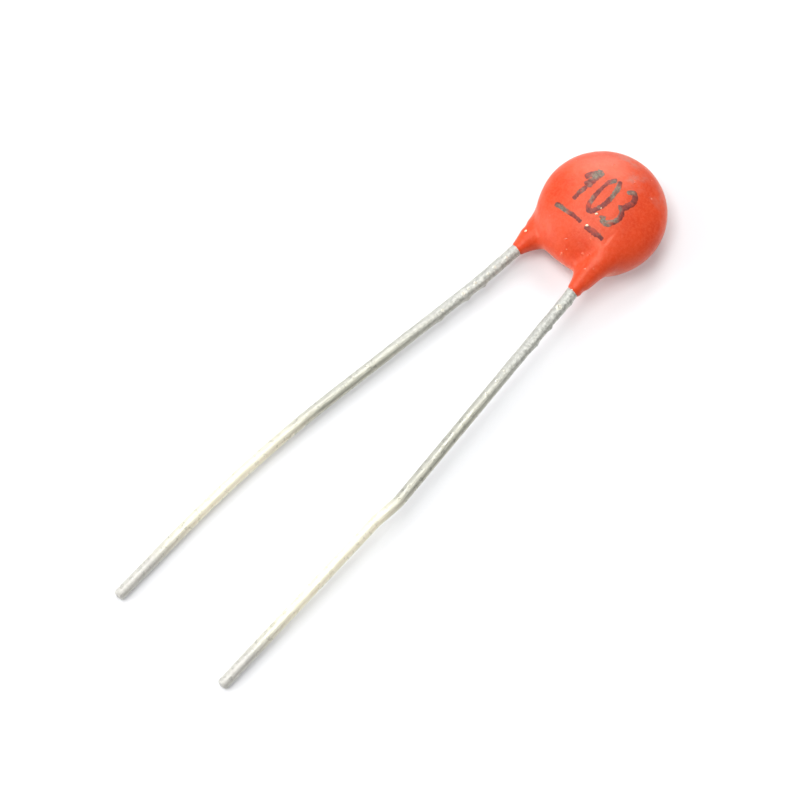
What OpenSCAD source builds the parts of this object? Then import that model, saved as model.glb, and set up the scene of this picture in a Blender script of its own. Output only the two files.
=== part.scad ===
// Ceramic disc capacitor: a dipped disc with two wire leads, lying as it comes to rest.
//
// Two frames are used. In the body frame the disc's centre is the origin, its faces look along Z
// and the leads leave towards -Y: the front lead on the upper face at +X, the back lead on the
// lower face at -X. rest() tips that frame down towards the leads and lifts it, so that the dipped
// body and the tips of both leads touch the floor at z = 0. centred() then moves the whole part so
// that its box stands on the origin.

/* [Ceramic and electrodes] */
// Diameter of the ceramic disc
ceramic_d = 5; // [4.4:0.1:7]
// Thickness of the ceramic disc
ceramic_t = 0.5; // [0.3:0.05:0.8]
// Chamfer along the edges of the ceramic disc
ceramic_chamfer = 0.06; // [0.02:0.01:0.1]
// Bare margin between the ceramic's edge and each electrode
electrode_margin = 0.3; // [0.15:0.05:0.5]
// Thickness of each electrode film
electrode_t = 0.03; // [0.02:0.01:0.05]

/* [Leads] */
// Diameter of the tinned wire
wire_d = 0.55; // [0.45:0.01:0.65]
// Distance between the wires where they leave the resin
lead_spacing = 3.52; // [3.2:0.02:4.2]
// How far the pair of wires sits to the right of the disc's centre line
lead_shift = -0.19; // [-0.3:0.01:0.3]
// Length of the back lead's bare wire, from the resin to its tip
back_lead_length = 24.5; // [22:0.1:32]
// Length of the front lead's bare wire, from the resin to its tip
front_lead_length = 24.2; // [22:0.1:32]
// How far each wire's tail reaches past the disc's centre
tail_reach = 1.1; // [0.7:0.05:1.3]
// Chamfer on the cut tips
tip_chamfer = 0.07; // [0.03:0.01:0.12]
// Wire diameter round a bend, as a share of the straight wire's
bend_neck = 0.99; // [0.97:0.005:0.995]

/* [Back lead, on the left] */
// Heading of the tail that is soldered to the disc, in degrees outwards
back_tail_heading = 6.5; // [2:0.1:8]
// Heading of the middle stretch, in degrees outwards
back_middle_heading = 9.2; // [8.5:0.1:12]
// Heading of the end, in degrees outwards
back_end_heading = 1.2; // [-2:0.1:6]
// Length from the resin to the first bend
back_start = 2.3; // [1:0.1:4]
// Length of the middle stretch
back_middle = 13.6; // [10:0.1:16]
// Radius of the first bend
back_root_radius = 30; // [5:1:40]
// Radius of the long bow towards the end
back_bow_radius = 70; // [20:1:80]

/* [Front lead, on the right] */
// Heading of the tail that is soldered to the disc, in degrees outwards
front_tail_heading = 4; // [3:0.1:6]
// Heading of the middle stretch, in degrees outwards
front_middle_heading = 2.2; // [0:0.1:2.8]
// Heading of the jog, in degrees outwards
front_jog_heading = -8; // [-12:0.1:-5]
// Heading of the end, in degrees outwards
front_end_heading = -1.2; // [-4:0.1:2]
// Length from the resin to the first bend
front_start = 0.8; // [0.6:0.1:2]
// Length of the middle stretch
front_middle = 11.9; // [9:0.1:16]
// Length of the jog
front_jog = 1.3; // [1:0.1:2.5]
// Radius of the first bend
front_root_radius = 20; // [5:1:30]
// Radius of the bends at both ends of the jog
front_jog_radius = 3; // [2:0.5:5]

/* [Solder] */
// Solder film between the electrode and the wire
solder_film = 0.03; // [0.02:0.01:0.06]
// Solder over the wire at the middle of the joint
solder_cover = 0.2; // [0.1:0.05:0.3]
// Length of each solder joint along the wire
solder_length = 2.3; // [1.6:0.1:2.6]
// Full-width share of the joint's length, before its ends taper
solder_barrel = 0.4; // [0.2:0.05:0.6]

/* [Resin coating] */
// Resin beyond the ceramic's edge
coat_rim = 0.49; // [0.4:0.01:0.8]
// Resin over the wires at the disc's middle
coat_cover = 0.64; // [0.4:0.02:0.9]
// Fullness of the lens section: 2 is an ellipse, more is squarer
coat_fullness = 2.2; // [2:0.1:2.8]
// How far the back skirt's end lies past the disc's rim
back_skirt = 0.73; // [0.5:0.01:1.2]
// How far the front skirt's end lies past the disc's rim
front_skirt = 0.88; // [0.5:0.01:1.2]
// Length over which each skirt tapers
skirt_taper = 2; // [1.5:0.1:2.4]
// Resin on the wire at the round end of a skirt
skirt_lip = 0.055; // [0.04:0.005:0.1]
// Resin beside the wire at the root of the back skirt
back_skirt_sides = 0.53; // [0.4:0.01:0.8]
// Resin beside the wire at the root of the front skirt
front_skirt_sides = 0.64; // [0.4:0.01:0.8]
// Resin over and under the wire at the root of a skirt
skirt_root_face = 0.33; // [0.2:0.02:0.5]
// Half the thickness of the web between the skirts
web_thickness = 0.32; // [0.2:0.02:0.45]
// How far the web reaches past the ceramic's edge
web_reach = 0.34; // [0.2:0.01:0.5]
// Half the run of the web, from its free edge up the disc
web_run = 0.24; // [0.2:0.01:0.6]
// Blending radius where lens, skirts and web flow together
blend = 0.175; // [0.1:0.005:0.25]

/* [Facets] */
// Points round each section of the coating
section_points = 52; // [24:2:64]
// Sections of the coating that fan out round the disc
fan_sections = 50; // [24:1:60]
// Sections of the coating down each skirt, and round the skirt's end
leg_sections = 6; // [3:1:8]
end_sections = 4; // [2:1:6]

/* [Hidden] */
$fn = 48;
// How far each bend's arc runs into the straight wire at its ends
bend_overlap = 0.1;
// The most that a bend may use of a stretch with one bend, and of a stretch with a bend at each end
end_share = 0.9;
inner_share = 0.48;
// How far the pivot of the coating's fan of sections lies beyond the lens's rim
fan_drop = 0.4;
// How far the search for the skin goes, in half sizes of the section
spoke_reach = 1.7;
// Keeps the rounded forms' slopes finite at their own centres
tiny = 1e-6;

wire_r = wire_d / 2;
neck_r = wire_r * bend_neck;
lip_r = wire_r + skirt_lip;
electrode_d = ceramic_d - 2 * electrode_margin;

// Heights in the body frame, measured from the middle of the ceramic
electrode_z = ceramic_t / 2 + electrode_t;
wire_z = electrode_z + solder_film + wire_r;
coat_h = wire_z + wire_r + coat_cover;
coat_r = ceramic_d / 2 + coat_rim;

// Each lead is [side, x and distance below the centre of its skirt's round end, headings, lengths,
// bend radii, bare length, resin beside it]. Side is 1 on the front and right, -1 on the back.
lip_run = sqrt(lip_r * lip_r - wire_r * wire_r);
FRONT = [1, lead_shift + lead_spacing / 2, coat_r + front_skirt - lip_run,
         [front_tail_heading, front_middle_heading, front_jog_heading, front_end_heading],
         [front_start, front_middle, front_jog],
         [front_root_radius, front_jog_radius, front_jog_radius],
         front_lead_length, front_skirt_sides];
BACK = [-1, lead_shift - lead_spacing / 2, coat_r + back_skirt - lip_run,
        [back_tail_heading, back_middle_heading, back_end_heading],
        [back_start, back_middle],
        [back_root_radius, back_bow_radius],
        back_lead_length, back_skirt_sides];

function side(lead) = lead[0];
function heading(lead, i) = [side(lead) * sin(lead[3][i]), -cos(lead[3][i])];
function tail_dir(lead) = [heading(lead, 0).x, heading(lead, 0).y, 0];
function skirt_end(lead) = [lead[1], -lead[2], side(lead) * wire_z];
function tail_point(lead, along) = skirt_end(lead) + along * tail_dir(lead);
// Along the tail from the skirt's round end to the tail's own end, up the disc
function tail_run(lead) = (lead[2] + tail_reach) / cos(lead[3][0]);
// Along the tail from the skirt's round end to the middle of the solder joint
function joint_run(lead) = lead[2] / cos(lead[3][0]);

// ---- Rest placement ----

// The part tips until the middle of the wires would come down to the floor at their tips
reach = coat_r + (front_skirt + back_skirt + front_lead_length + back_lead_length) / 2;
tilt = atan((coat_h - wire_r) / reach);
// Height of the disc's centre when the tipped lens touches the floor
dual = coat_fullness / (coat_fullness - 1);
lift = pow(pow(coat_r * sin(tilt), dual) + pow(coat_h * cos(tilt), dual), 1 / dual);

function at_rest(p) =
    [p.x, p.y * cos(tilt) - p.z * sin(tilt), p.y * sin(tilt) + p.z * cos(tilt) + lift];
module rest() { translate([0, 0, lift]) rotate([tilt, 0, 0]) children(); }

function total(v, n) = n <= 0 ? 0 : v[n - 1] + total(v, n - 1);
function stretches(lead) = len(lead[4]);
// Plan length of each stretch after the first bend, and the last takes what is left
function run(lead, i) =
    i < stretches(lead) ? lead[4][i] : lead[6] - total(lead[4], stretches(lead));
function plan_run(lead, n) = n < 1 ? 0 : run(lead, n) + plan_run(lead, n - 1);
function first_corner(lead) = at_rest(tail_point(lead, lip_run + lead[4][0]));
// Fall of the wire for each millimetre of plan, from its first bend to its tip on the floor
function fall(lead) =
    (first_corner(lead).z - wire_r) / plan_run(lead, stretches(lead));
function corner(lead, n) =
    n == 0 ? first_corner(lead)
           : corner(lead, n - 1)
             + run(lead, n) * [heading(lead, n).x, heading(lead, n).y, -fall(lead)];
// The wire's centre line as corners: the tail's end, each bend, and the tip
function route(lead) =
    concat([at_rest(tail_point(lead, -tail_run(lead)))],
           [for (n = [0:stretches(lead)]) corner(lead, n)]);

all_corners = concat(route(FRONT), route(BACK));
low_x = min(-coat_r, min([for (p = all_corners) p.x]) - wire_r);
high_x = max(coat_r, max([for (p = all_corners) p.x]) + wire_r);
low_y = min([for (p = all_corners) p.y]);
module centred() { translate([-(low_x + high_x) / 2, -(low_y + coat_r) / 2, 0]) children(); }

// ---- Ceramic and electrodes ----

// Three slices: a chamfer, the full width and a chamfer
module ceramic() {
    full = ceramic_d / 2;
    small = full - ceramic_chamfer;
    translate([0, 0, -ceramic_t / 2]) {
        cylinder(r1 = small, r2 = full, h = ceramic_chamfer);
        translate([0, 0, ceramic_chamfer]) cylinder(r = full, h = ceramic_t - 2 * ceramic_chamfer);
        translate([0, 0, ceramic_t - ceramic_chamfer])
            cylinder(r1 = full, r2 = small, h = ceramic_chamfer);
    }
}

module electrode(lead) {
    base_z = side(lead) > 0 ? ceramic_t / 2 : -electrode_z;
    translate([0, 0, base_z]) cylinder(d = electrode_d, h = electrode_t);
}

// ---- Wire ----

// Turns +Z onto the direction from a to b, at a
module along(a, b) {
    d = b - a;
    translate(a) rotate([0, acos(d.z / norm(d)), atan2(d.y, d.x)]) children();
}
module straight_wire(a, b) { along(a, b) cylinder(r = wire_r, h = norm(b - a)); }
module wire_tip(a, b) {
    along(a, b) {
        cylinder(r = wire_r, h = norm(b - a) - tip_chamfer);
        translate([0, 0, norm(b - a) - tip_chamfer])
            cylinder(r1 = wire_r, r2 = wire_r - tip_chamfer, h = tip_chamfer);
    }
}

function unit(v) = v / norm(v);
function bend_angle(a, p, b) = acos(min(1, unit(p - a) * unit(b - p)));
// How far before the corner p the arc starts
function bend_cut(a, p, b, radius) = radius * tan(bend_angle(a, p, b) / 2);
// The room for a bend on the stretch from corner i to the next. The tail's is outside the resin.
function room(lead, points, i) =
    i == 0 ? end_share * lead[4][0]
           : norm(points[i + 1] - points[i]) * (i == len(points) - 2 ? end_share : inner_share);
// The radius of the bend at corner i, or the largest that there is room for
function bend_radius(lead, points, i) =
    min(lead[5][i - 1],
        min(room(lead, points, i - 1), room(lead, points, i))
            / tan(bend_angle(points[i - 1], points[i], points[i + 1]) / 2));

// The arc that rounds the corner p, run a little way into the straight wire at both ends
module bent_wire(a, p, b, radius) {
    u = unit(p - a);
    v = unit(b - p);
    towards = unit(v - (u * v) * u);
    centre = p - bend_cut(a, p, b, radius) * u + radius * towards;
    x = -towards;
    z = cross(x, u);
    extra = asin(bend_overlap / radius);
    multmatrix([[x.x, u.x, z.x, centre.x],
                [x.y, u.y, z.y, centre.y],
                [x.z, u.z, z.z, centre.z]])
        rotate([0, 0, -extra])
            rotate_extrude(angle = bend_angle(a, p, b) + 2 * extra)
                translate([radius, 0]) circle(r = neck_r);
}

module wire(lead) {
    points = route(lead);
    last = len(points) - 1;
    radii = [for (i = [0:last]) i == 0 || i == last ? 0 : bend_radius(lead, points, i)];
    cuts = [for (i = [0:last])
        i == 0 || i == last ? 0 : bend_cut(points[i - 1], points[i], points[i + 1], radii[i])];
    for (i = [0:last - 1]) {
        step = unit(points[i + 1] - points[i]);
        from = points[i] + cuts[i] * step;
        to = points[i + 1] - cuts[i + 1] * step;
        if (i == last - 1) wire_tip(from, to);
        else straight_wire(from, to);
    }
    for (i = [1:last - 1])
        bent_wire(points[i - 1], points[i], points[i + 1], radii[i]);
}
// The straight tail, in the body frame, as the body's own pieces are cut by it
module tail(lead) {
    straight_wire(tail_point(lead, -tail_run(lead)), tail_point(lead, lip_run + lead[4][0] / 2));
}

// ---- Solder ----

// A barrel with tapered ends round the wire, cut flat where it sits on the electrode
module solder_mound(lead) {
    full_r = wire_r + solder_cover;
    end_r = wire_r + solder_film;
    barrel = solder_length * solder_barrel;
    taper = (solder_length - barrel) / 2;
    middle = tail_point(lead, -joint_run(lead));
    intersection() {
        along(middle - solder_length / 2 * tail_dir(lead), middle) {
            cylinder(r1 = end_r, r2 = full_r, h = taper);
            translate([0, 0, taper]) cylinder(r = full_r, h = barrel);
            translate([0, 0, taper + barrel]) cylinder(r1 = full_r, r2 = end_r, h = taper);
        }
        translate([0, 0, side(lead) * (electrode_z + full_r * 2)])
            cube([ceramic_d, ceramic_d, full_r * 4], center = true);
    }
}

// ---- Resin coating ----
// The skin is where depth(p) is zero, and depth is negative inside the resin. It is a smooth
// minimum of four rounded forms: the lens over the disc, a tapered skirt round each wire and the
// web between them.

function clamp(t) = max(0, min(1, t));

// About the distance from p to a rounded form of half sizes s and the given fullness
function form_depth(p, s, full) =
    let (q = [for (i = [0:2]) abs(p[i]) / s[i] + tiny],
         k = pow(pow(q[0], full) + pow(q[1], full) + pow(q[2], full), 1 / full),
         g = norm([for (i = [0:2]) pow(q[i] / k, full - 1) / s[i]]))
    (k - 1) / g;

function lens_depth(p) =
    form_depth([norm([p.x, p.y]), 0, p.z], [coat_r, coat_r, coat_h], coat_fullness);

// Across the wire the skirt is an ellipse that grows from the lip to the root, and both of its ends
// are round, the upper one inside the lens
function skirt_depth(p, lead) =
    let (v = p - skirt_end(lead),
         s = v * tail_dir(lead),
         across = cross(tail_dir(lead), [0, 0, 1]) * v,
         over = max(s, 0, -s - skirt_taper),
         grown = sin(90 * clamp(-s / skirt_taper)),
         wide = lip_r + grown * (wire_r + lead[7] - lip_r),
         high = lip_r + grown * (wire_r + skirt_root_face - lip_r))
    form_depth([across, over, v.z], [wide, wide, high], 2);

function web_height(x) = wire_z * max(-1, min(1, (x - lead_shift) / (lead_spacing / 2)));
web_half = [lead_spacing / 2 - wire_r, web_run, web_thickness];
web_y = -(ceramic_d / 2 + web_reach - web_run);
function web_depth(p) =
    form_depth([p.x - lead_shift, p.y - web_y, p.z - web_height(p.x)], web_half, 2);

function soft(d) = exp(-d / blend);
function depth(p) =
    -blend * ln(soft(lens_depth(p)) + soft(web_depth(p))
                + soft(skirt_depth(p, FRONT)) + soft(skirt_depth(p, BACK)));

// Halving search for the sign change of f between a, inside, and b, outside
function edge_of(f, a, b, n = 18) =
    n == 0 ? (a + b) / 2
           : let (m = (a + b) / 2) f(m) < 0 ? edge_of(f, m, b, n - 1) : edge_of(f, a, m, n - 1);

// The skin is lofted through upright sections. They run from the round end of the back skirt up
// that skirt, round the disc like the ribs of a fan whose pivot lies between the skirts, and down
// the front skirt to its round end. Each is [a point inside the resin, a direction outwards].
guide = lead_spacing / 2;
pivot = [lead_shift, -coat_r - fan_drop];
function outwards(lead) = [side(lead) * cos(lead[3][0]), sin(lead[3][0])];
function plan(p) = [p.x, p.y];
// From the skirt's round end to the pivot's foot on its axis
function leg_run(lead) = (pivot - plan(skirt_end(lead))) * -plan(tail_dir(lead));
function leg_section(lead, s) = [plan(tail_point(lead, s)), outwards(lead)];
function skirt_sections(lead) = concat(
    [for (i = [1:end_sections]) leg_section(lead, lip_r * cos(90 * i / end_sections))],
    [for (i = [1:leg_sections - 1]) leg_section(lead, -leg_run(lead) * i / leg_sections)]);
function disc_sections() =
    let (from = 180 - BACK[3][0], to = FRONT[3][0])
    [for (i = [0:fan_sections])
        let (turn = from + (to - from) * i / fan_sections, dir = [cos(turn), sin(turn)])
        [pivot + guide * dir, dir]];
function reversed(v) = [for (i = [len(v) - 1:-1:0]) v[i]];

// The closed section curve: a search outwards from its middle along the spokes of an ellipse
// that is as wide and high as the resin is there
function section_curve(section) =
    let (from = section[0],
         dir = section[1],
         z = web_height(from.x),
         across = function (c, t) [c.x + t * dir.x, c.y + t * dir.y],
         out = edge_of(function (t) depth([each across(from, t), z]), 0, 2 * coat_r + guide),
         back = edge_of(function (t) depth([each across(from, -t), z]), 0, guide),
         c = across(from, (out - back) / 2),
         wide = (out + back) / 2,
         up = edge_of(function (t) depth([c.x, c.y, z + t]), 0, 2 * coat_h),
         down = edge_of(function (t) depth([c.x, c.y, z - t]), 0, 2 * coat_h),
         mid = z + (up - down) / 2,
         high = (up + down) / 2)
    [for (k = [0:section_points - 1])
        let (turn = 360 * k / section_points,
             at = function (r) [each across(c, r * wide * cos(turn)), mid + r * high * sin(turn)])
        at(edge_of(function (r) depth(at(r)), 0, spoke_reach))];

module skin() {
    sections = concat(skirt_sections(BACK), disc_sections(), reversed(skirt_sections(FRONT)));
    curves = [for (section = sections) each section_curve(section)];
    poles = [for (lead = [BACK, FRONT]) tail_point(lead, lip_r)];
    n = section_points;
    last = (len(sections) - 1) * n;
    pole_at = last + n;
    function next(k) = (k + 1) % n;
    faces = [
        for (k = [0:n - 1]) each [
            [pole_at, k, next(k)],
            [pole_at + 1, last + next(k), last + k],
        ],
        for (i = [0:n:last - n]) for (k = [0:n - 1]) each [
            [i + k, i + n + k, i + n + next(k)],
            [i + k, i + n + next(k), i + next(k)],
        ],
    ];
    polyhedron(points = concat(curves, poles), faces = faces);
}

// ---- The pieces ----

module ceramic_disc() { color("#cbb58c") centred() rest() ceramic(); }
module front_electrode() { color("#d9dbdd") centred() rest() electrode(FRONT); }
module back_electrode() { color("#d9dbdd") centred() rest() electrode(BACK); }
module front_lead() { color("#c4c3b6") centred() wire(FRONT); }
module back_lead() { color("#c4c3b6") centred() wire(BACK); }
module solder_joint(lead) {
    color("#a9adb0") centred() rest() difference() {
        solder_mound(lead);
        tail(lead);
    }
}
module front_solder() { solder_joint(FRONT); }
module back_solder() { solder_joint(BACK); }
module coating() {
    color("#ee5a38") centred() rest() difference() {
        skin();
        ceramic();
        for (lead = [FRONT, BACK]) {
            electrode(lead);
            solder_mound(lead);
            tail(lead);
        }
    }
}

ceramic_disc();
front_electrode();
back_electrode();
front_lead();
back_lead();
front_solder();
back_solder();
coating();
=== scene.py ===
# A dipped ceramic disc capacitor with two bent wire leads, lying on a pale table.
# Shapes are in millimetres and in the part's own frame until addPiece turns them into metres.
# Shader numbers are in metres. A noise pattern is its scale, detail and roughness, then the
# range of the noise that is used, and what that range becomes where this isn't 0 to 1.
import bpy
import numpy as np
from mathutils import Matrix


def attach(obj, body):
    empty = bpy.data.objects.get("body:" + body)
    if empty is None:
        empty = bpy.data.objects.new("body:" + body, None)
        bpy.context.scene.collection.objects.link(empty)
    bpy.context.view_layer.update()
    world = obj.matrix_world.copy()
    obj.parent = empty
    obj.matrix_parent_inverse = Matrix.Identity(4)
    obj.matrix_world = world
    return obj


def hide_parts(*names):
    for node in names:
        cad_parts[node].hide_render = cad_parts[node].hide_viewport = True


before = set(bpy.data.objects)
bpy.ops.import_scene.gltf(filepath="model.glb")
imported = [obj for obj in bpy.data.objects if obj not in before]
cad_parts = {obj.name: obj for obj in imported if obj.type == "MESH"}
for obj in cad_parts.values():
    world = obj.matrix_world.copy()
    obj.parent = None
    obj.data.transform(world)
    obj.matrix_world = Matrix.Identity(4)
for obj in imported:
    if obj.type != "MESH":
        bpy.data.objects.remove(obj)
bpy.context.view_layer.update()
print("frame loaded")


# Placing: objects, directions and the matrices of the camera and the lamps

def addObject(name, data):
    made = bpy.data.objects.new(name, data)
    bpy.context.scene.collection.objects.link(made)
    return made


def unit(vectors):
    return vectors / np.linalg.norm(vectors, axis=-1, keepdims=True)


def placement(right, top, back, place):
    # A matrix from three axes and a place in millimetres
    matrix = np.eye(4)
    matrix[:3, :3] = np.stack([right, top, back], 1)
    matrix[:3, 3] = place / 1000
    return matrix.T.tolist()


camera = {"azimuth": 41.2, "elevation": 69.5, "distance": 250, "lens": 247.5, "sensor": 36,
          "target": (-0.399, 0.0175, 0), "clip": (0.01, 5)}  # the clip is in metres


def addCamera(c):
    # The camera looks along the heading at the azimuth, tipped down by the elevation
    a, e = np.radians([c["azimuth"], c["elevation"]])
    right = np.array([np.cos(a), np.sin(a), 0])
    look = np.array([-np.sin(a) * np.cos(e), np.cos(a) * np.cos(e), -np.sin(e)])
    data = bpy.data.cameras.new("camera")
    data.lens, data.sensor_width = c["lens"], c["sensor"]
    data.clip_start, data.clip_end = c["clip"]
    cameraObject = addObject("camera", data)
    cameraObject.matrix_world = placement(right, np.cross(right, look), -look,
                                          np.array(c["target"]) - look * c["distance"])
    bpy.context.scene.camera = cameraObject


addCamera(camera)
print("camera placed")


# Materials: small helpers that wire shader nodes together

def newMaterial(name, **sockets):
    # A socket's name is written with _ for each space
    material = bpy.data.materials.new(name)
    material.use_nodes = True
    shader = material.node_tree.nodes["Principled BSDF"]
    for socket, value in sockets.items():
        shader.inputs[socket.replace("_", " ")].default_value = value
    return material.node_tree, shader, material


def plug(tree, shader, **sockets):
    for socket, value in sockets.items():
        tree.links.new(value, shader.inputs[socket.replace("_", " ")])


def node(tree, kind, inputs=None, **settings):
    made = tree.nodes.new("ShaderNode" + kind)
    for key, value in settings.items():
        setattr(made, key, value)
    for key, value in (inputs or {}).items():
        if isinstance(value, bpy.types.NodeSocket):
            tree.links.new(value, made.inputs[key])
        else:
            made.inputs[key].default_value = value
    return made


def coordinates(tree):
    return node(tree, "TexCoord").outputs["Object"]


def attribute(tree, name):
    # The vector of an attribute, and its three numbers
    vector = node(tree, "Attribute", attribute_name=name).outputs["Vector"]
    return vector, node(tree, "SeparateXYZ", {"Vector": vector}).outputs


def noise(tree, vector, scale, detail, rough):
    return node(tree, "TexNoise", {"Vector": vector, "Scale": scale, "Detail": detail,
                                   "Roughness": rough}).outputs["Fac"]


def spread(tree, value, low, high, a=0.0, b=1.0):
    # low..high becomes a..b, held at its ends
    return node(tree, "MapRange", {"Value": value, "From Min": low, "From Max": high,
                                   "To Min": a, "To Max": b}).outputs["Result"]


def patches(tree, vector, scale, detail, rough, *limits):
    return spread(tree, noise(tree, vector, scale, detail, rough), *limits)


def math(tree, operation, a, b):
    return node(tree, "Math", {0: a, 1: b}, operation=operation).outputs["Value"]


def times(tree, a, b):
    return math(tree, "MULTIPLY", a, b)


def larger(tree, a, b):
    return math(tree, "MAXIMUM", a, b)


def mix(tree, share, a, b):
    mixed = node(tree, "Mix", data_type="RGBA")
    for key, value in ((0, share), (6, a), (7, b)):
        if isinstance(value, bpy.types.NodeSocket):
            tree.links.new(value, mixed.inputs[key])
        else:
            mixed.inputs[key].default_value = (*value, 1) if isinstance(value, tuple) else value
    return mixed.outputs[2]


def bump(tree, height, distance, strength):
    return node(tree, "Bump", {"Height": height, "Distance": distance,
                               "Strength": strength}).outputs["Normal"]


def near(tree, vector, centre, radius, soft):
    # 1 within the radius of a point, fading to 0 over the soft distance
    away = node(tree, "VectorMath", {0: vector, 1: centre}, operation="DISTANCE").outputs["Value"]
    return spread(tree, away, radius, radius + soft, 1.0, 0.0)


def grainyMaterial(name, tones, patchy, gloss=None, relief=None, **sockets):
    # Two tones in patches. The gloss is a noise pattern, and the relief is a noise's scale,
    # detail and roughness, then its depth and strength.
    tree, shader, material = newMaterial(name, **sockets)
    at = coordinates(tree)
    plug(tree, shader, Base_Color=mix(tree, patches(tree, at, *patchy), *tones))
    if gloss:
        plug(tree, shader, Roughness=patches(tree, at, *gloss))
    if relief:
        plug(tree, shader, Normal=bump(tree, noise(tree, at, *relief[:3]), *relief[3:]))
    return material


# Numbers: smooth waves for uneven surfaces, and the halving search that finds a surface

def waves(p, length, seed, count=24):
    # Sum of sine waves of about the given length in random directions, scaled to about -1..1
    rng = np.random.default_rng(seed)
    direction = unit(rng.normal(size=(count, 3)))
    turns = 2 * np.pi / (length * rng.uniform(0.7, 1.4, count))
    phase = rng.uniform(0, 2 * np.pi, count)
    return np.sin((p @ (direction * turns[:, None]).T) + phase).sum(-1) / np.sqrt(count)


def halving(inside, low, high, steps=24):
    # Moves two bounds together about the place where inside() turns false
    low, high = np.broadcast_arrays(np.asarray(low, float), np.asarray(high, float))
    for _ in range(steps):
        middle = (low + high) / 2
        within = inside(middle)
        low, high = np.where(within, middle, low), np.where(within, high, middle)
    return (low + high) / 2


def followed(places, run, line):
    # Where a line of points is at the places along its run
    return np.stack([np.interp(places, run, column) for column in line.T], -1)


def runOf(line):
    # The distance along a line of points, at each of them
    return np.concatenate([[0], np.cumsum(np.linalg.norm(np.diff(line, axis=0), axis=1))])


# Meshes: faces are rows of point numbers, quads and triangles apart

def gridFaces(rows, columns, first=0):
    # Quads between neighbouring rows of a grid that is closed across
    i = np.arange(rows - 1)[:, None] * columns + first
    j = np.arange(columns)[None]
    k = (j + 1) % columns
    return np.stack([i + j, i + k, i + columns + k, i + columns + j], -1).reshape(-1, 4)


def capFaces(ring, pole, flip):
    # Triangles from a ring of numbers to one pole
    after = np.roll(ring, -1)
    a, b = (after, ring) if flip else (ring, after)
    return np.stack([np.full_like(ring, pole), a, b], -1)


def closedFaces(rows, columns):
    # A grid that is closed across, with its first and last row joined to two poles, whose
    # numbers follow the grid's
    ring, poles = np.arange(columns), rows * columns
    return gridFaces(rows, columns), np.vstack([
        capFaces(ring, poles, False), capFaces(ring + poles - columns, poles + 1, True)])


def copies(faces, count, size):
    # The same faces for each of several blocks of points
    step = (np.arange(count) * size)[:, None, None]
    return [(kind[None] + step).reshape(-1, kind.shape[1]) for kind in faces]


def addPiece(name, points, faces, material, attributes=None):
    # Faces are turned outwards: the volume that they enclose has to come out positive
    quads, triangles = faces
    every = np.vstack([quads[:, [0, 1, 2]], quads[:, [0, 2, 3]], triangles])
    a, b, c = (points[every[:, k]] for k in range(3))
    if np.einsum("ij,ij->i", a, np.cross(b, c)).sum() < 0:
        quads, triangles = quads[:, ::-1], triangles[:, ::-1]
    mesh = bpy.data.meshes.new(name)
    mesh.from_pydata((points / 1000).tolist(), [], quads.tolist() + triangles.tolist())
    mesh.shade_smooth()
    for key, values in (attributes or {}).items():
        layer = mesh.attributes.new(key, "FLOAT_VECTOR", "POINT")
        layer.data.foreach_set("vector", values.astype(np.float32).ravel())
    mesh.materials.append(material)
    piece = addObject(name, mesh)
    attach(piece, "root")
    return piece


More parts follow.
